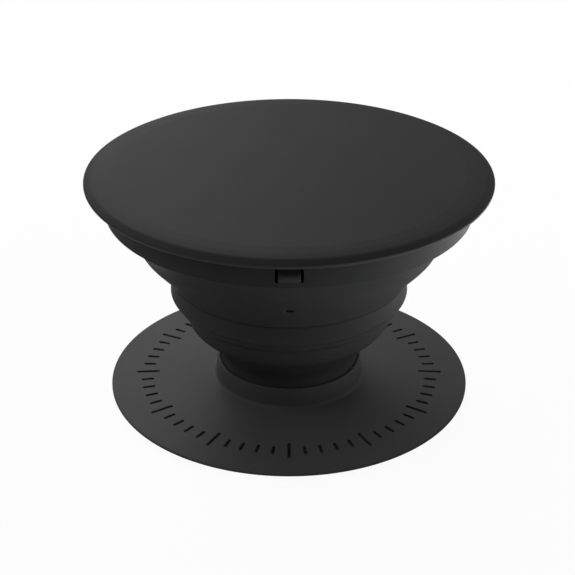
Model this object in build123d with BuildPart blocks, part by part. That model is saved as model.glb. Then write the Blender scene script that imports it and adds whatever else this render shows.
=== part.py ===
from build123d import *
from math import radians, tan
import os

# Collapsible phone grip, extended: a button snapped onto a soft bellows, which turns in a stick-on platform.
# Millimetres, +Z up. The origin is the centre of the adhesive face. Rises and reaches are steps along the profile.

# Adhesive pad
pad_radius = 17.0
pad_thickness = 0.45
pad_edge_round = 0.1

# Platform
rim_overhang = 1.28
rim_height = 0.33
rim_round = 0.12
crown_rise = 0.42
boss_wall = 0.3
boss_flare = 0.17
boss_height = 2.05
boss_foot_round = 0.4
boss_round = 0.1

# Snap foot of the bellows, which turns in the platform's boss
neck_radius = 7.0
neck_wall = 1.0
running_gap = 0.05
bead_reach = 0.4
bead_height = 0.3
bead_round = 0.1
foot_gap = 0.1

# Bellows, from the neck up to the collar
neck_rise = 1.05
neck_round = 0.6
lower_web_reach = 3.18
lower_web_rise = 3.44
lower_bulge_round = 6.0
lower_wall_reach = 0.33
lower_wall_rise = 1.61
groove_depth = 0.25
groove_rise = 0.38
groove_round = 0.12
ring_reach = 1.65
ring_rise = 1.17
ring_height = 1.7
ring_round = 0.2
upper_web_reach = 3.05
upper_web_rise = 3.38
upper_bulge_round = 5.0
upper_wall_reach = 0.46
upper_wall_rise = 0.97
upper_wall_round = 0.5
collar_web_reach = 2.67
collar_web_rise = 2.75
collar_web_sag = 0.13
collar_web_round = 6.0
collar_height = 2.75
collar_round = 0.2
collar_wall = 1.0
web_wall = 0.7
ring_wall = 0.9
hinge_wall = 0.55

# Snap windows in the collar, and the vent
hook_count = 4
window_width = 2.5
window_height = 1.63
window_sill = 0.62
vent_radius = 0.4
vent_offset = 0.9

# Button
seat_gap = 0.02
disc_thickness = 1.0
lip_overhang = 2.01
lip_bevel = 0.3
lip_round = 0.4
crown_reach = 1.05
crown_drop = 0.06
crown_round = 6.0
brow_reach = 0.9
brow_drop = 0.11
brow_round = 1.0
edge_reach = 0.65
edge_drop = 0.33
edge_round = 0.3
crease_round = 2.5
skirt_gap = 0.15
skirt_wall = 0.8
skirt_height = 1.2
hook_side_gap = 0.25
hook_sill_gap = 0.03
hook_height = 1.4
hook_proud = 0.12
hook_lean = 0.5
hook_round = 0.12
arm_tip = 0.2

# The most of a side that the rounding at one of its ends may take
side_share = 0.45


def step(point, reach, rise):
    """The next corner of a profile, as (radius, height)."""
    return (point[0] + reach, point[1] + rise)


def inset(before, corner, after, wall):
    """The point one wall inside a corner of an outline that runs with the material on its left."""
    side_in = (Vector(*corner) - Vector(*before)).normalized().rotate(Axis.Z, 90)
    side_out = (Vector(*after) - Vector(*corner)).normalized().rotate(Axis.Z, 90)
    mitre = (side_in + side_out) / (1 + side_in.dot(side_out))
    point = Vector(*corner) + mitre * wall
    return (point.X, point.Y)


def rounded_corner(before, corner, after, rounding):
    """The start, middle and end of the arc that rounds a corner, no longer than its two sides allow."""
    point = Vector(*corner)
    back = Vector(*before) - point
    ahead = Vector(*after) - point
    half_turn = radians(180 - back.get_angle(ahead)) / 2
    setback = min(rounding * tan(half_turn), side_share * back.length, side_share * ahead.length)
    inwards = (back.normalized() + ahead.normalized()).normalized()
    start = point + back.normalized() * setback
    middle = point + inwards * setback * tan(half_turn / 2)
    end = point + ahead.normalized() * setback
    return start, middle, end


def draw_outline(corners):
    """Draws a closed line through ((radius, height), rounding) corners. A rounding of 0 leaves a sharp corner."""
    points = [point for point, rounding in corners]
    nexts = points[1:] + points[:1]
    lasts = points[-1:] + points[:-1]
    arcs = []
    for before, (point, rounding), after in zip(lasts, corners, nexts):
        arcs.append(rounded_corner(before, point, after, rounding))
    for (point, rounding), arc, next_arc in zip(corners, arcs, arcs[1:] + arcs[:1]):
        if rounding:
            ThreePointArc(*arc)
        Line(arc[2], next_arc[0])


# Levels and radii that more than one piece uses
pad_top = pad_thickness
rim_top = pad_top + rim_height
boss_foot = rim_top + crown_rise
boss_top = boss_foot + boss_height
foot_bottom = pad_top + foot_gap
bead_top = foot_bottom + bead_height
lip_bottom = bead_top + foot_gap
bore_radius = neck_radius + running_gap
bead_radius = neck_radius + bead_reach
socket_radius = bead_radius + foot_gap
boss_radius = bore_radius + boss_wall
platform_radius = pad_radius + rim_overhang

# Corners of the bellows' outer face, upwards
neck_top = (neck_radius, boss_top + neck_rise)
lower_bulge = step(neck_top, lower_web_reach, lower_web_rise)
lower_edge = step(lower_bulge, lower_wall_reach, lower_wall_rise)
lower_groove = step(lower_edge, -groove_depth, groove_rise)
ring_bottom = step(lower_groove, ring_reach, ring_rise)
ring_top = step(ring_bottom, 0, ring_height)
upper_groove = step(ring_top, -groove_depth, groove_rise)
upper_bulge = step(upper_groove, upper_web_reach, upper_web_rise)
upper_edge = step(upper_bulge, upper_wall_reach, upper_wall_rise)
collar_bottom = step(upper_edge, collar_web_reach, collar_web_rise)
collar_top = step(collar_bottom, 0, collar_height)
web_chord = Vector(*collar_bottom) - Vector(*upper_edge)
web_sag = web_chord.normalized().rotate(Axis.Z, 90) * collar_web_sag
collar_web = step(upper_edge, web_chord.X / 2 + web_sag.X, web_chord.Y / 2 + web_sag.Y)
collar_inside = collar_bottom[0] - collar_wall
window_bottom = collar_bottom[1] + window_sill

# Adhesive pad
with BuildPart() as adhesive_pad:
    Cylinder(pad_radius, pad_thickness, align=(Align.CENTER, Align.CENTER, Align.MIN))
    fillet(adhesive_pad.edges().group_by(Axis.Z)[0], pad_edge_round)

# Platform: a shallow cone on the pad, and a tapered boss with an undercut for the bead
platform_corners = [
    ((socket_radius, pad_top), 0),
    ((platform_radius, pad_top), rim_round),
    ((platform_radius, rim_top), rim_round),
    ((boss_radius + boss_flare, boss_foot), boss_foot_round),
    ((boss_radius, boss_top), boss_round),
    ((bore_radius, boss_top), boss_round),
    ((bore_radius, lip_bottom), 0),
    ((socket_radius, lip_bottom), 0),
]
with BuildPart() as platform:
    with BuildSketch(Plane.XZ):
        with BuildLine():
            draw_outline(platform_corners)
        make_face()
    revolve(axis=Axis.Z)

# Accordion: one soft moulding of stiff rings joined by thin webs, with windows for the button's hooks
outer_corners = [
    ((bead_radius, foot_bottom), bead_round),
    ((bead_radius, bead_top), bead_round),
    ((neck_radius, bead_top), 0),
    (neck_top, neck_round),
    (lower_bulge, lower_bulge_round),
    (lower_edge, groove_round),
    (lower_groove, groove_round),
    (ring_bottom, ring_round),
    (ring_top, ring_round),
    (upper_groove, groove_round),
    (upper_bulge, upper_bulge_round),
    (upper_edge, upper_wall_round),
    (collar_web, collar_web_round),
    (collar_bottom, collar_round),
    (collar_top, collar_round),
]
inner_corners = [
    ((collar_inside, collar_top[1]), collar_round),
    (inset(collar_web, collar_bottom, collar_top, collar_wall), ring_wall),
    (inset(upper_edge, collar_web, collar_bottom, web_wall), 0),
    (inset(upper_bulge, upper_edge, collar_web, web_wall), 0),
    (inset(upper_groove, upper_bulge, upper_edge, ring_wall), ring_wall),
    (inset(ring_top, upper_groove, upper_bulge, hinge_wall), hinge_wall),
    (inset(lower_groove, ring_bottom, ring_top, ring_wall), hinge_wall),
    (inset(lower_edge, lower_groove, ring_bottom, hinge_wall), 0),
    (inset(neck_top, lower_bulge, lower_edge, ring_wall), ring_wall),
    (inset((neck_radius, bead_top), neck_top, lower_bulge, neck_wall), neck_wall),
    ((neck_radius - neck_wall, foot_bottom), bead_round),
]
web_run = Vector(upper_web_reach, upper_web_rise).normalized()
vent_point = Vector(*upper_bulge) - web_run * vent_offset
vent_plane = Plane((0, -vent_point.X, vent_point.Y), x_dir=(1, 0, 0), z_dir=(0, -web_run.Y, -web_run.X))
with BuildPart() as accordion:
    with BuildSketch(Plane.XZ):
        with BuildLine():
            draw_outline(outer_corners + inner_corners)
        make_face()
    revolve(axis=Axis.Z)
    with Locations((0, 0, window_bottom)):
        with PolarLocations(collar_bottom[0] - collar_wall / 2, hook_count, start_angle=-90):
            Box(
                2 * collar_wall,
                window_width,
                window_height,
                align=(Align.CENTER, Align.CENTER, Align.MIN),
                mode=Mode.SUBTRACT,
            )
    with BuildSketch(vent_plane):
        Circle(vent_radius)
    extrude(amount=2 * ring_wall, both=True, mode=Mode.SUBTRACT)

# Levels and radii of the button, set by the collar that it snaps into
disc_bottom = collar_top[1] + seat_gap
disc_top = disc_bottom + disc_thickness
button_radius = collar_bottom[0] + lip_overhang
edge_top = (button_radius, disc_top - crown_drop - brow_drop - edge_drop)
brow = step(edge_top, -edge_reach, edge_drop)
crown = step(brow, -brow_reach, brow_drop)
crease = step(crown, -crown_reach, crown_drop)
skirt_radius = collar_inside - skirt_gap
skirt_inside = skirt_radius - skirt_wall
hook_bottom = window_bottom + hook_sill_gap
hook_top = hook_bottom + hook_height
hook_reach = collar_bottom[0] + hook_proud
hook_width = window_width - 2 * hook_side_gap

# One snap arm with its hook, which leans in towards its top and is rounded at its sides and its lower edge
arm_corners = [
    ((skirt_inside, disc_bottom), 0),
    ((skirt_inside, hook_bottom - arm_tip), 0),
    ((skirt_radius, hook_bottom - arm_tip), 0),
    ((skirt_radius, hook_bottom), 0),
    ((hook_reach, hook_bottom), 0),
    ((hook_reach - hook_lean, hook_top), 0),
    ((skirt_radius, hook_top), 0),
    ((skirt_radius, disc_bottom), 0),
]
with BuildPart() as snap_arm:
    with BuildSketch(Plane.XZ):
        with BuildLine():
            draw_outline(arm_corners)
        make_face()
    extrude(amount=hook_width / 2, both=True)
    fillet(snap_arm.faces().sort_by(Axis.X)[-1].edges().sort_by(Axis.Z)[:-1], hook_round)

# Button: a flat disc whose margin falls away to a thin lip, its locating skirt and the snap arms
button_corners = [
    ((0, disc_bottom), 0),
    ((skirt_inside, disc_bottom), 0),
    ((skirt_inside, disc_bottom - skirt_height), 0),
    ((skirt_radius, disc_bottom - skirt_height), 0),
    ((skirt_radius, disc_bottom), 0),
    ((button_radius - lip_bevel, disc_bottom), lip_round),
    ((button_radius, disc_bottom + lip_bevel), lip_round),
    (edge_top, edge_round),
    (brow, brow_round),
    (crown, crown_round),
    (crease, crease_round),
    ((0, disc_top), 0),
]
with BuildPart() as button:
    with BuildSketch(Plane.XZ):
        with BuildLine():
            draw_outline(button_corners)
        make_face()
    revolve(axis=Axis.Z)
    with PolarLocations(0, hook_count, start_angle=-90):
        add(snap_arm.part)

os.makedirs("parts", exist_ok=True)
adhesive_pad.part.label = "adhesive_pad"
export_step(adhesive_pad.part, "parts/adhesive_pad.step")
platform.part.label = "platform"
export_step(platform.part, "parts/platform.step")
accordion.part.label = "accordion"
export_step(accordion.part, "parts/accordion.step")
button.part.label = "button"
export_step(button.part, "parts/button.step")
print("button diameter", 2 * button_radius, "platform diameter", 2 * platform_radius, "height", disc_top)
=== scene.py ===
import math
import bmesh
import bpy
from mathutils import Matrix, Vector


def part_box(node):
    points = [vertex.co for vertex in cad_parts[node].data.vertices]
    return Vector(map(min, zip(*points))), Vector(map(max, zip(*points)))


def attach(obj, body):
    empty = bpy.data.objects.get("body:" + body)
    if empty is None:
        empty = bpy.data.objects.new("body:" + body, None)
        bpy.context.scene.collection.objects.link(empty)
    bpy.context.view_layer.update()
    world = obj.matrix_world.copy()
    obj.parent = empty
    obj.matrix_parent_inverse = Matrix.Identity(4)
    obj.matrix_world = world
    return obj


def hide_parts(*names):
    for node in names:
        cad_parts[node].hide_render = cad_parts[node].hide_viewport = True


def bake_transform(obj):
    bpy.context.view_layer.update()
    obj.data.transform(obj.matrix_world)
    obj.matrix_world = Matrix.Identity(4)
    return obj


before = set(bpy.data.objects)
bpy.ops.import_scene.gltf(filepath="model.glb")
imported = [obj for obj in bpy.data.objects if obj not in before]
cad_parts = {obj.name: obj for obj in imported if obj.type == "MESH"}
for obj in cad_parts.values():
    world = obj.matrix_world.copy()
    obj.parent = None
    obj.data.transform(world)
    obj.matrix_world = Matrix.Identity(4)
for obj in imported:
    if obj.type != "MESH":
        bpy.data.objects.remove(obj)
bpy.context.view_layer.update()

# Collapsible phone grip: a matte black button on a soft bellows, which turns in a stick-on platform.
# Sizes are millimetres, as in the part, unless a comment says metres. +Z is up, and -Y faces the camera.
MM = 0.001

# Fineness of the turned meshes; the last two are in metres
TURN_STEPS = 288
ARC_STEP = math.radians(9)
RUN_SPACING = 0.45
EDGE_LOOP = 0.03
SMOOTH_ANGLE = math.radians(38)
SIDE_SHARE = 0.45
WELD_DISTANCE = 1e-7
SLIVER_LENGTH = 1e-8


def box_mm(node):
    """The lowest and highest corner of a CAD node, in millimetres."""
    low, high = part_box(node)
    return low / MM, high / MM


pad_high = box_mm("adhesive_pad")[1]
platform_low, platform_high = box_mm("platform")
accordion_low = box_mm("accordion")[0]
button_high = box_mm("button")[1]

# Pad
PAD_ROUND = 0.1

# Platform, from its rim to the boss, and the snap joint inside the boss
RIM_HEIGHT = 0.33
RIM_ROUND = 0.12
BOSS_WALL = 0.3
BOSS_FLARE = 0.17
BOSS_HEIGHT = 2.05
BOSS_FOOT_ROUND = 0.4
BOSS_ROUND = 0.1
NECK_RADIUS = 7.0
RUNNING_GAP = 0.05
BEAD_REACH = 0.4
BEAD_HEIGHT = 0.3
BEAD_ROUND = 0.1
FOOT_GAP = 0.1

# Bellows, from the neck up to the collar
NECK_WALL = 1.0
NECK_RISE = 1.05
LOWER_WEB = (3.18, 3.44)
LOWER_BULGE_ROUND = 6.0
LOWER_WALL = (0.33, 1.61)
GROOVE = (-0.25, 0.38)
RING_WEB = (1.65, 1.17)
RING_HEIGHT = 1.7
UPPER_WEB = (3.05, 3.38)
UPPER_BULGE_ROUND = 5.0
UPPER_WALL = (0.46, 0.97)
UPPER_WALL_ROUND = 0.5
COLLAR_WEB = (2.67, 2.75)
COLLAR_WEB_SAG = 0.13
COLLAR_WEB_ROUND = 6.0
COLLAR_HEIGHT = 2.75
COLLAR_ROUND = 0.2
COLLAR_WALL = 1.0
WEB_WALL = 0.7
RING_WALL = 0.9
HINGE_WALL = 0.55

# Outer face of the bellows, finer than the solid's: a hollow lower web, steps under the tapered ring,
# a crease above it and a proud lower edge on the collar
NECK_FILLET = 1.6
LOWER_WEB_SAG = 0.24
LOWER_WEB_ROUND = 6.0
LEDGE = (0.7, 0.6)
RISER = (0.05, 0.4)
STEP_ROUND = 0.12
RING_EDGE_ROUND = 0.55
RING_TAPER = 0.2
CREASE = (-0.1, 0.1)
CREASE_ROUND = 0.1
WEB_BEND_SHARE = 0.4
WEB_BEND_ROUND = 3.0
COLLAR_EDGE = (0.12, 0.08)
COLLAR_NOOK = (-0.2, 0)

# Snap windows, hooks and the vent
HOOK_COUNT = 4
WINDOW_WIDTH = 2.5
WINDOW_HEIGHT = 1.63
WINDOW_SILL = 0.62
WINDOW_ROUND = 0.2
WINDOW_FLARE = 0.07
VENT_RADIUS = 0.4
VENT_OFFSET = 0.9
VENT_FLARE = 0.2
VENT_DISH = 0.12
VENT_DEPTH = 2.0
VENT_STEPS = 32
HOOK_SIDE_GAP = 0.25
HOOK_SILL_GAP = 0.03
HOOK_HEIGHT = 1.4
HOOK_PROUD = 0.3
HOOK_LEAN = 1.0
HOOK_TUCK = 0.2
HOOK_NOSE = 0.65
HOOK_NOSE_ROUND = 1.2
HOOK_ROUND = 0.12
ARM_TIP = 0.2

# Button
DISC_THICKNESS = 1.0
LIP_BEVEL = 0.3
LIP_ROUND = 0.4
CROWN = (1.05, -0.06)
CROWN_ROUND = 6.0
BROW = (0.9, -0.11)
BROW_ROUND = 1.0
EDGE = (0.65, -0.33)
EDGE_ROUND = 0.3
MARGIN_ROUND = 2.5
SKIRT_GAP = 0.15
SKIRT_WALL = 0.8
SKIRT_HEIGHT = 1.2

# Plain dial of engraved strokes on the platform
DIAL_RADIUS = 14.6
DIAL_STROKES = 60
DIAL_LONG_EVERY = 5
DIAL_LONG = 2.4
DIAL_SHORT = 1.3
DIAL_WIDTH = 0.36
DIAL_DEPTH = 0.22
DIAL_END_FLAT = 0.01

# Surfaces: how far colour and gloss vary, and how strong the grain's relief is
MOTTLE_SCALE = 160
MOTTLE_DETAIL = 4
MOTTLE_SWING = 0.1
PORE_DETAIL = 3
GLOSS_SWING = 0.05
RELIEF_STRENGTH = 0.5

# Floor, a hair above the pad's lower face so that the face shows from below; FLOOR_HALF is in metres
FLOOR_HALF = 1.2
FLOOR_LEVEL = 0.02
FLOOR_COLOUR = (0.92, 0.92, 0.92, 1)
FLOOR_WHITE_SHARE = 0.95

# Lights, in metres
SOFTBOX_DISTANCE = 0.45
SOFTBOX_SIZE = 0.3
AIM_HEIGHT = 0.012

# Camera, from the ellipses of the button and the platform in the photograph; CLIP_START is in metres
IMAGE_SIDE = 575
FOCAL_PIXELS = 1508.36
SENSOR_WIDTH = 36.0
CAMERA_PITCH = math.radians(62.073)
CAMERA_PLACE = Vector((-0.15, -134.40, 82.02)) * MM
CLIP_START = 0.005


def step(point, change):
    """The next corner of a profile, as (radius, height)."""
    return (point[0] + change[0], point[1] + change[1])


def left_of(direction):
    """A direction turned a quarter left in the profile's plane."""
    return Vector((-direction.y, direction.x))


def inset(before, corner, after, wall):
    """The point one wall inside a corner of an outline that runs with the material on its left."""
    side_in = left_of((Vector(corner) - Vector(before)).normalized())
    side_out = left_of((Vector(after) - Vector(corner)).normalized())
    mitre = (side_in + side_out) / (1 + side_in.dot(side_out))
    return tuple(Vector(corner) + mitre * wall)


def rounded_corner(before, corner, after, rounding):
    """The points of the arc that rounds a corner, no longer than its two sides allow."""
    point = Vector(corner)
    back = Vector(before) - point
    ahead = Vector(after) - point
    half_turn = (math.pi - back.angle(ahead)) / 2
    setback = min(rounding * math.tan(half_turn), SIDE_SHARE * back.length, SIDE_SHARE * ahead.length)
    if setback < EDGE_LOOP / 10:
        return [point]
    radius = setback / math.tan(half_turn)
    start = point + back.normalized() * setback
    centre = point + (back.normalized() + ahead.normalized()).normalized() * radius / math.cos(half_turn)
    turn = math.copysign(2 * half_turn, back.cross(ahead) * -1)
    count = max(2, math.ceil(2 * half_turn / ARC_STEP))
    spoke = start - centre
    return [centre + Matrix.Rotation(turn * i / count, 2) @ spoke for i in range(count + 1)]


def straight_run(start, end):
    """Points between two ends, with a loop close to each so that a rounding keeps its own shading."""
    length = (end - start).length
    if length < 3 * EDGE_LOOP:
        return []
    count = max(1, math.ceil((length - 2 * EDGE_LOOP) / RUN_SPACING))
    shares = [EDGE_LOOP / length + (1 - 2 * EDGE_LOOP / length) * i / count for i in range(count + 1)]
    return [start.lerp(end, share) for share in shares]


def outline(corners):
    """A closed profile through ((radius, height), rounding) corners, as points."""
    points = [point for point, rounding in corners]
    arcs = []
    for i, (point, rounding) in enumerate(corners):
        arcs.append(rounded_corner(points[i - 1], point, points[(i + 1) % len(points)], rounding))
    line = []
    for i, arc in enumerate(arcs):
        line += arc + straight_run(arc[-1], arcs[(i + 1) % len(arcs)][0])
    return line


def new_piece(name, mesh):
    """An object in the scene that holds a mesh."""
    piece = bpy.data.objects.new(name, mesh)
    bpy.context.scene.collection.objects.link(piece)
    return piece


def turned(name, corners):
    """A piece made by turning a closed profile about the axis."""
    line = outline(corners)
    count = len(line)
    vertices = []
    for turn in range(TURN_STEPS):
        angle = 2 * math.pi * turn / TURN_STEPS
        for radius, height in line:
            vertices.append((radius * math.cos(angle) * MM, radius * math.sin(angle) * MM, height * MM))
    faces = []
    for turn in range(TURN_STEPS):
        here = turn * count
        there = (turn + 1) % TURN_STEPS * count
        for i in range(count):
            j = (i + 1) % count
            faces.append((here + i, there + i, there + j, here + j))
    mesh = bpy.data.meshes.new(name)
    mesh.from_pydata(vertices, [], faces)
    work = bmesh.new()
    work.from_mesh(mesh)
    bmesh.ops.remove_doubles(work, verts=work.verts, dist=WELD_DISTANCE)
    bmesh.ops.dissolve_degenerate(work, edges=work.edges, dist=SLIVER_LENGTH)
    bmesh.ops.recalc_face_normals(work, faces=work.faces)
    work.to_mesh(mesh)
    work.free()
    return new_piece(name, mesh)


def combine(piece, others, operation):
    """Cuts the other pieces out of a piece or joins them to it, and deletes them."""
    for other in others:
        change = piece.modifiers.new("combine", "BOOLEAN")
        change.operation = operation
        change.solver = "EXACT"
        change.object = other
    graph = bpy.context.evaluated_depsgraph_get()
    mesh = bpy.data.meshes.new_from_object(piece.evaluated_get(graph))
    piece.modifiers.clear()
    piece.data = mesh
    for other in others:
        bpy.data.objects.remove(other)


def smooth(piece):
    """Smooth shading with the true edges kept sharp."""
    piece.data.shade_smooth()
    piece.data.set_sharp_from_angle(angle=SMOOTH_ANGLE)


def solid_between(name, rings):
    """A closed piece through a list of rings of points, each with the same number of points."""
    work = bmesh.new()
    loops = [[work.verts.new(Vector(point) * MM) for point in ring] for ring in rings]
    count = len(loops[0])
    for lower, upper in zip(loops, loops[1:]):
        for i in range(count):
            j = (i + 1) % count
            work.faces.new((lower[i], lower[j], upper[j], upper[i]))
    work.faces.new(loops[0])
    work.faces.new(loops[-1])
    bmesh.ops.recalc_face_normals(work, faces=work.faces)
    mesh = bpy.data.meshes.new(name)
    work.to_mesh(mesh)
    work.free()
    return new_piece(name, mesh)


def rounded_rectangle(width, height, rounding):
    """Points round a rectangle that is centred on 0, with rounded corners."""
    steps = max(2, math.ceil(math.pi / 2 / ARC_STEP))
    points = []
    for quarter in range(4):
        start = quarter * math.pi / 2
        centre_x = (width / 2 - rounding) * (1 if quarter in (0, 3) else -1)
        centre_y = (height / 2 - rounding) * (1 if quarter in (0, 1) else -1)
        for i in range(steps + 1):
            angle = start + math.pi / 2 * i / steps
            points.append((centre_x + rounding * math.cos(angle), centre_y + rounding * math.sin(angle)))
    return points


# Levels and corners that more than one piece uses
rim_top = platform_low.z + RIM_HEIGHT
boss_top = platform_high.z
boss_foot = boss_top - BOSS_HEIGHT
bead_top = accordion_low.z + BEAD_HEIGHT
bore_radius = NECK_RADIUS + RUNNING_GAP
bead_radius = NECK_RADIUS + BEAD_REACH
boss_radius = bore_radius + BOSS_WALL
neck_top = (NECK_RADIUS, boss_top + NECK_RISE)
lower_bulge = step(neck_top, LOWER_WEB)
lower_edge = step(lower_bulge, LOWER_WALL)
lower_groove = step(lower_edge, GROOVE)
ring_bottom = step(lower_groove, RING_WEB)
ring_top = step(ring_bottom, (0, RING_HEIGHT))
upper_groove = step(ring_top, GROOVE)
upper_bulge = step(upper_groove, UPPER_WEB)
upper_edge = step(upper_bulge, UPPER_WALL)
collar_bottom = step(upper_edge, COLLAR_WEB)
collar_top = step(collar_bottom, (0, COLLAR_HEIGHT))
collar_edge = step(collar_bottom, COLLAR_EDGE)
web_sag = left_of(Vector(COLLAR_WEB).normalized()) * COLLAR_WEB_SAG
collar_web = step(upper_edge, Vector(COLLAR_WEB) / 2 + web_sag)
lower_sag = left_of(Vector(LOWER_WEB).normalized()) * LOWER_WEB_SAG
lower_web = step(neck_top, Vector(LOWER_WEB) / 2 + lower_sag)
ledge_end = step(lower_edge, LEDGE)
ring_lip = step(ring_top, (-RING_TAPER, 0))
web_bend = step(upper_groove, Vector(UPPER_WEB) * WEB_BEND_SHARE)
collar_inside = collar_bottom[0] - COLLAR_WALL
window_bottom = collar_bottom[1] + WINDOW_SILL
hook_bottom = window_bottom + HOOK_SILL_GAP
disc_bottom = button_high.z - DISC_THICKNESS
# Below this height the button's faces are painted lighter. This is painted light that stands in for light from
# the floor below.
underlight_edge = button_high.z + CROWN[1] + BROW[1] + EDGE[1]
skirt_radius = collar_inside - SKIRT_GAP
skirt_inside = skirt_radius - SKIRT_WALL
hook_turns = [Matrix.Rotation(2 * math.pi * i / HOOK_COUNT, 4, "Z") for i in range(HOOK_COUNT)]


def make_pad():
    """The gel disc that sticks the grip to a phone."""
    corners = [
        ((0, 0), 0),
        ((pad_high.x, 0), PAD_ROUND),
        ((pad_high.x, pad_high.z), 0),
        ((0, pad_high.z), 0),
    ]
    piece = turned("adhesive_pad_gel", corners)
    smooth(piece)
    return piece


def dial_stroke(turn, length):
    """A cutter for one stroke of the dial: a slot with round ends that lies along a radius."""
    spin = Matrix.Rotation(2 * math.pi * turn / DIAL_STROKES - math.pi / 2, 3, "Z")
    shape = rounded_rectangle(length, DIAL_WIDTH, DIAL_WIDTH / 2 - DIAL_END_FLAT)
    slope = (boss_foot - rim_top) / (platform_high.x - boss_radius - BOSS_FLARE)
    rings = []
    for lift in (-DIAL_DEPTH, DIAL_DEPTH):
        ring = []
        for along, across in shape:
            radius = DIAL_RADIUS + along
            ring.append(spin @ Vector((radius, across, rim_top + slope * (platform_high.x - radius) + lift)))
        rings.append(ring)
    return solid_between(f"stroke_{turn}", rings)


def make_platform():
    """The base plate: a shallow cone with a thin rim, the tapered boss round the neck, and the dial."""
    socket_radius = bead_radius + FOOT_GAP
    lip_bottom = bead_top + FOOT_GAP
    corners = [
        ((socket_radius, platform_low.z), 0),
        ((platform_high.x, platform_low.z), RIM_ROUND),
        ((platform_high.x, rim_top), RIM_ROUND),
        ((boss_radius + BOSS_FLARE, boss_foot), BOSS_FOOT_ROUND),
        ((boss_radius, boss_top), BOSS_ROUND),
        ((bore_radius, boss_top), BOSS_ROUND),
        ((bore_radius, lip_bottom), 0),
        ((socket_radius, lip_bottom), 0),
    ]
    piece = turned("platform_plate", corners)
    strokes = []
    for turn in range(DIAL_STROKES):
        strokes.append(dial_stroke(turn, DIAL_SHORT if turn % DIAL_LONG_EVERY else DIAL_LONG))
    bpy.context.view_layer.objects.active = strokes[0]
    with bpy.context.temp_override(active_object=strokes[0], selected_editable_objects=strokes):
        bpy.ops.object.join()
    combine(piece, strokes[:1], "DIFFERENCE")
    smooth(piece)
    return piece


def window_cutter(turn):
    """A cutter for one snap window, whose sides flare a little where they meet the collar's outer face."""
    middle = window_bottom + WINDOW_HEIGHT / 2
    rings = []
    depths = ((-2 * COLLAR_WALL, 0), (-WINDOW_FLARE, 0), (WINDOW_FLARE, 2 * WINDOW_FLARE))
    for depth, flare in depths:
        shape = rounded_rectangle(WINDOW_WIDTH + flare, WINDOW_HEIGHT, WINDOW_ROUND)
        rings.append([(x, -collar_bottom[0] - depth, middle + z) for x, z in shape])
    cutter = solid_between("window", rings)
    cutter.data.transform(turn)
    return cutter


def vent_cutter():
    """A cutter for the vent in its small dish, square to the web that it goes through."""
    run = Vector(UPPER_WEB).normalized()
    spot = Vector(upper_bulge) - run * VENT_OFFSET
    outwards = Vector((0, -run.y, -run.x))
    up = Vector((0, -run.x, run.y))
    centre = Vector((0, -spot.x, spot.y))
    rings = []
    dish = ((-VENT_DEPTH, 0), (-VENT_DISH, 0), (0, VENT_FLARE), (VENT_DISH, 2 * VENT_FLARE))
    for depth, flare in dish:
        ring = []
        for i in range(VENT_STEPS):
            angle = 2 * math.pi * i / VENT_STEPS
            across = Vector((math.cos(angle), 0, 0)) + up * math.sin(angle)
            ring.append(centre + outwards * depth + across * (VENT_RADIUS + flare))
        rings.append(ring)
    return solid_between("vent", rings)


def make_accordion():
    """The bellows: stiff rings joined by thin webs, with a snap foot, windows for the hooks and a vent."""
    corners = [
        ((bead_radius, accordion_low.z), BEAD_ROUND),
        ((bead_radius, bead_top), BEAD_ROUND),
        ((NECK_RADIUS, bead_top), 0),
        (neck_top, NECK_FILLET),
        (lower_web, LOWER_WEB_ROUND),
        (lower_bulge, LOWER_BULGE_ROUND),
        (lower_edge, STEP_ROUND),
        (ledge_end, STEP_ROUND),
        (step(ledge_end, RISER), STEP_ROUND),
        (ring_bottom, RING_EDGE_ROUND),
        (ring_lip, CREASE_ROUND),
        (step(ring_lip, CREASE), CREASE_ROUND),
        (web_bend, WEB_BEND_ROUND),
        (upper_bulge, UPPER_BULGE_ROUND),
        (upper_edge, UPPER_WALL_ROUND),
        (collar_web, COLLAR_WEB_ROUND),
        (step(collar_edge, COLLAR_NOOK), CREASE_ROUND),
        (collar_edge, COLLAR_ROUND),
        (collar_top, COLLAR_ROUND),
        ((collar_inside, collar_top[1]), COLLAR_ROUND),
        (inset(collar_web, collar_bottom, collar_top, COLLAR_WALL), RING_WALL),
        (inset(upper_edge, collar_web, collar_bottom, WEB_WALL), 0),
        (inset(upper_bulge, upper_edge, collar_web, WEB_WALL), 0),
        (inset(upper_groove, upper_bulge, upper_edge, RING_WALL), RING_WALL),
        (inset(ring_top, upper_groove, upper_bulge, HINGE_WALL), HINGE_WALL),
        (inset(lower_groove, ring_bottom, ring_top, RING_WALL), HINGE_WALL),
        (inset(lower_edge, lower_groove, ring_bottom, HINGE_WALL), 0),
        (inset(neck_top, lower_bulge, lower_edge, RING_WALL), RING_WALL),
        (inset((NECK_RADIUS, bead_top), neck_top, lower_bulge, NECK_WALL), NECK_WALL),
        ((NECK_RADIUS - NECK_WALL, accordion_low.z), BEAD_ROUND),
    ]
    piece = turned("accordion_bellows", corners)
    combine(piece, [window_cutter(turn) for turn in hook_turns] + [vent_cutter()], "DIFFERENCE")
    smooth(piece)
    return piece


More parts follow.
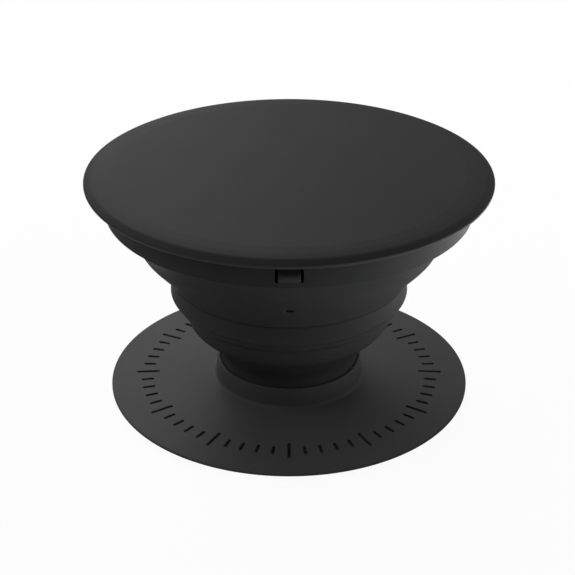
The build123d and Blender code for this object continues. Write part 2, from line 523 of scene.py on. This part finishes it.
def snap_arm(turn):
    """One snap arm of the button, with the hook that shows in its window."""
    reach = collar_bottom[0] + HOOK_PROUD
    half_width = WINDOW_WIDTH / 2 - HOOK_SIDE_GAP
    hook_top = hook_bottom + HOOK_HEIGHT
    arm_root = disc_bottom + DISC_THICKNESS / 4
    profile = [
        ((skirt_inside, arm_root), 0),
        ((skirt_inside, hook_bottom - ARM_TIP), 0),
        ((skirt_radius, hook_bottom - ARM_TIP), 0),
        ((skirt_radius, hook_bottom), 0),
        ((reach - HOOK_TUCK, hook_bottom), HOOK_ROUND),
        ((reach, hook_bottom + HOOK_NOSE), HOOK_NOSE_ROUND),
        ((reach - HOOK_LEAN, hook_top), HOOK_ROUND / 2),
        ((skirt_radius, hook_top), 0),
        ((skirt_radius, arm_root), 0),
    ]
    line = outline(profile)
    corner_steps = math.ceil(math.pi / 2 / ARC_STEP)
    slices = []
    for i in range(corner_steps + 1):
        turned_by = math.pi / 2 * i / corner_steps
        across = -half_width + HOOK_ROUND * (1 - math.cos(turned_by))
        slices.append((across, HOOK_ROUND * (1 - math.sin(turned_by))))
    slices += [(-across, pull) for across, pull in reversed(slices)]
    rings = []
    for across, pull in slices:
        ring = []
        for radius, height in line:
            ring.append((across, -max(min(radius, skirt_radius), radius - pull), height))
        rings.append(ring)
    arm = solid_between("arm", rings)
    arm.data.transform(turn)
    return arm


def make_button():
    """The top plate: a flat disc with a falling margin and a rounded lip, its skirt and the snap arms."""
    crease = (button_high.x - CROWN[0] - BROW[0] - EDGE[0], button_high.z)
    crown = step(crease, CROWN)
    brow = step(crown, BROW)
    corners = [
        ((0, disc_bottom), 0),
        ((skirt_inside, disc_bottom), 0),
        ((skirt_inside, disc_bottom - SKIRT_HEIGHT), 0),
        ((skirt_radius, disc_bottom - SKIRT_HEIGHT), 0),
        ((skirt_radius, disc_bottom), 0),
        ((button_high.x - LIP_BEVEL, disc_bottom), LIP_ROUND),
        ((button_high.x, disc_bottom + LIP_BEVEL), LIP_ROUND),
        (step(brow, EDGE), EDGE_ROUND),
        (brow, BROW_ROUND),
        (crown, CROWN_ROUND),
        (crease, MARGIN_ROUND),
        ((0, button_high.z), 0),
    ]
    piece = turned("button_disc", corners)
    combine(piece, [snap_arm(turn) for turn in hook_turns], "UNION")
    smooth(piece)
    return piece


def moulded(name, colour, roughness, sheen, grain, grain_height):
    """A matte moulded surface: mottled colour, uneven gloss and a fine grain, whose height is in metres."""
    material = bpy.data.materials.new(name)
    material.use_nodes = True
    nodes = material.node_tree.nodes
    links = material.node_tree.links
    shader = nodes["Principled BSDF"]
    shader.inputs["Specular IOR Level"].default_value = sheen
    place = nodes.new("ShaderNodeTexCoord")

    mottle = nodes.new("ShaderNodeTexNoise")
    mottle.inputs["Scale"].default_value = MOTTLE_SCALE
    mottle.inputs["Detail"].default_value = MOTTLE_DETAIL
    links.new(place.outputs["Object"], mottle.inputs["Vector"])
    tint = nodes.new("ShaderNodeMix")
    tint.data_type = "RGBA"
    tint.inputs["A"].default_value = (*[(1 - MOTTLE_SWING) * level for level in colour], 1)
    tint.inputs["B"].default_value = (*[(1 + MOTTLE_SWING) * level for level in colour], 1)
    links.new(mottle.outputs["Fac"], tint.inputs["Factor"])
    links.new(tint.outputs["Result"], shader.inputs["Base Color"])

    pores = nodes.new("ShaderNodeTexNoise")
    pores.inputs["Scale"].default_value = grain
    pores.inputs["Detail"].default_value = PORE_DETAIL
    links.new(place.outputs["Object"], pores.inputs["Vector"])
    gloss = nodes.new("ShaderNodeMapRange")
    gloss.inputs["To Min"].default_value = roughness - GLOSS_SWING
    gloss.inputs["To Max"].default_value = roughness + GLOSS_SWING
    links.new(pores.outputs["Fac"], gloss.inputs["Value"])
    links.new(gloss.outputs["Result"], shader.inputs["Roughness"])

    relief = nodes.new("ShaderNodeBump")
    relief.inputs["Strength"].default_value = RELIEF_STRENGTH
    relief.inputs["Distance"].default_value = grain_height
    links.new(pores.outputs["Fac"], relief.inputs["Height"])
    links.new(relief.outputs["Normal"], shader.inputs["Normal"])
    return material


def paint_underside_lighter(piece, material, edge):
    """Gives the faces of a piece that lie below a height a second material. Here that material is a lighter
    copy of the button's colour: painted light that stands in for light from the floor below.
    """
    piece.data.materials.append(material)
    for face in piece.data.polygons:
        face.material_index = 1 if face.center.z < edge * MM else 0


def make_floor():
    """A pale floor that looks white to the camera and keeps a faint shadow."""
    mesh = bpy.data.meshes.new("floor")
    side = FLOOR_HALF
    level = FLOOR_LEVEL * MM
    corners = [(-side, -side, level), (side, -side, level), (side, side, level), (-side, side, level)]
    mesh.from_pydata(corners, [], [(0, 1, 2, 3)])
    floor = new_piece("floor", mesh)
    material = bpy.data.materials.new("pale_floor")
    material.use_nodes = True
    nodes = material.node_tree.nodes
    links = material.node_tree.links
    nodes.clear()
    matt = nodes.new("ShaderNodeBsdfDiffuse")
    matt.inputs["Color"].default_value = FLOOR_COLOUR
    white = nodes.new("ShaderNodeEmission")
    white.inputs["Strength"].default_value = 1.0
    light_path = nodes.new("ShaderNodeLightPath")
    share = nodes.new("ShaderNodeMath")
    share.operation = "MULTIPLY"
    share.inputs[1].default_value = FLOOR_WHITE_SHARE
    mix = nodes.new("ShaderNodeMixShader")
    output = nodes.new("ShaderNodeOutputMaterial")
    links.new(light_path.outputs["Is Camera Ray"], share.inputs[0])
    links.new(share.outputs[0], mix.inputs["Fac"])
    links.new(matt.outputs[0], mix.inputs[1])
    links.new(white.outputs[0], mix.inputs[2])
    links.new(mix.outputs[0], output.inputs["Surface"])
    mesh.materials.append(material)


def make_world():
    """A white backdrop that only the camera sees. It gives no light."""
    world = bpy.data.worlds.new("studio")
    bpy.context.scene.world = world
    world.use_nodes = True
    nodes = world.node_tree.nodes
    links = world.node_tree.links
    nodes.clear()
    backdrop = nodes.new("ShaderNodeBackground")
    backdrop.inputs["Color"].default_value = (1, 1, 1, 1)
    light_path = nodes.new("ShaderNodeLightPath")
    output = nodes.new("ShaderNodeOutputWorld")
    links.new(light_path.outputs["Is Camera Ray"], backdrop.inputs["Strength"])
    links.new(backdrop.outputs[0], output.inputs["Surface"])


def area_light(name, size, power):
    """A square soft light, not yet placed."""
    lamp = bpy.data.lights.new(name, "AREA")
    lamp.shape = "SQUARE"
    lamp.size = size
    lamp.energy = power
    light = bpy.data.objects.new(name, lamp)
    bpy.context.scene.collection.objects.link(light)
    return light


def softbox(name, azimuth, elevation, power):
    """A soft light aimed at the grip. Azimuth 0 is in front of it, and 90 is on the right."""
    light = area_light(name, SOFTBOX_SIZE, power)
    turn = math.radians(azimuth)
    rise = math.radians(elevation)
    away = Vector((math.sin(turn) * math.cos(rise), -math.cos(turn) * math.cos(rise), math.sin(rise)))
    light.location = away * SOFTBOX_DISTANCE + Vector((0, 0, AIM_HEIGHT))
    light.rotation_euler = away.to_track_quat("Z", "Y").to_euler()


def floor_card(name, azimuth, distance, size, power):
    """A light that lies on the floor and faces up, like a white card in the sun."""
    light = area_light(name, size, power)
    turn = math.radians(azimuth)
    light.location = (math.sin(turn) * distance, -math.cos(turn) * distance, MM)
    light.rotation_euler = (math.pi, 0, turn)


def make_camera():
    """The photograph's camera."""
    lens = bpy.data.cameras.new("camera")
    lens.sensor_width = SENSOR_WIDTH
    lens.lens = FOCAL_PIXELS / IMAGE_SIDE * SENSOR_WIDTH
    lens.clip_start = CLIP_START
    camera = bpy.data.objects.new("camera", lens)
    bpy.context.scene.collection.objects.link(camera)
    camera.location = CAMERA_PLACE
    camera.rotation_euler = (CAMERA_PITCH, 0, 0)
    bpy.context.scene.camera = camera


button_plastic = moulded(
    "matte_black_button", (0.0279, 0.028, 0.0281), roughness=0.5, sheen=0.02, grain=5200, grain_height=4e-6
)
# A lighter copy of the button's colour for its lip, underside and hooks. This is painted light that stands in
# for light from the floor below, not a second finish.
button_painted_underlight = moulded(
    "black_button_painted_underlight", (0.0418, 0.042, 0.0421), roughness=0.5, sheen=0.02, grain=5200, grain_height=4e-6
)
platform_plastic = moulded(
    "matte_black_platform", (0.0613, 0.0618, 0.0618), roughness=0.5, sheen=0.034, grain=5200, grain_height=4e-6
)
elastomer = moulded(
    "black_elastomer", (0.0349, 0.0351, 0.0353), roughness=0.5, sheen=0.017, grain=3800, grain_height=5e-6
)
gel = moulded("black_gel", (0.03, 0.03, 0.032), roughness=0.3, sheen=0.4, grain=1400, grain_height=8e-6)

for maker, node, body, slot, material in (
    (make_pad, "adhesive_pad", "base", "pad_gel", gel),
    (make_platform, "platform", "base", "platform_plastic", platform_plastic),
    (make_button, "button", "button", "button_plastic", button_plastic),
):
    made = maker()
    made.data.materials.clear()
    made.data.materials.append(material)
    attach(made, body)
    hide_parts(node)
    # The button's lower faces take the lighter copy of its colour, which is painted light from below.
    if node == "button":
        paint_underside_lighter(made, button_painted_underlight, underlight_edge)

bellows = make_accordion()
bellows.data.materials.clear()
bellows.data.materials.append(elastomer)
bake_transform(bellows)
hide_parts("accordion")

make_floor()
make_world()
softbox("back_left", azimuth=202, elevation=30, power=1.10)
softbox("back", azimuth=180, elevation=30, power=0.37)
softbox("back_right", azimuth=135, elevation=30, power=0.465)
softbox("front_right", azimuth=56, elevation=30, power=0.46)
softbox("left", azimuth=270, elevation=30, power=0.64)
softbox("left_high", azimuth=270, elevation=55, power=0.28)
floor_card("right_bounce", azimuth=90, distance=0.09, size=0.1, power=0.27)
make_camera()

scene = bpy.context.scene
scene.view_settings.view_transform = "Standard"
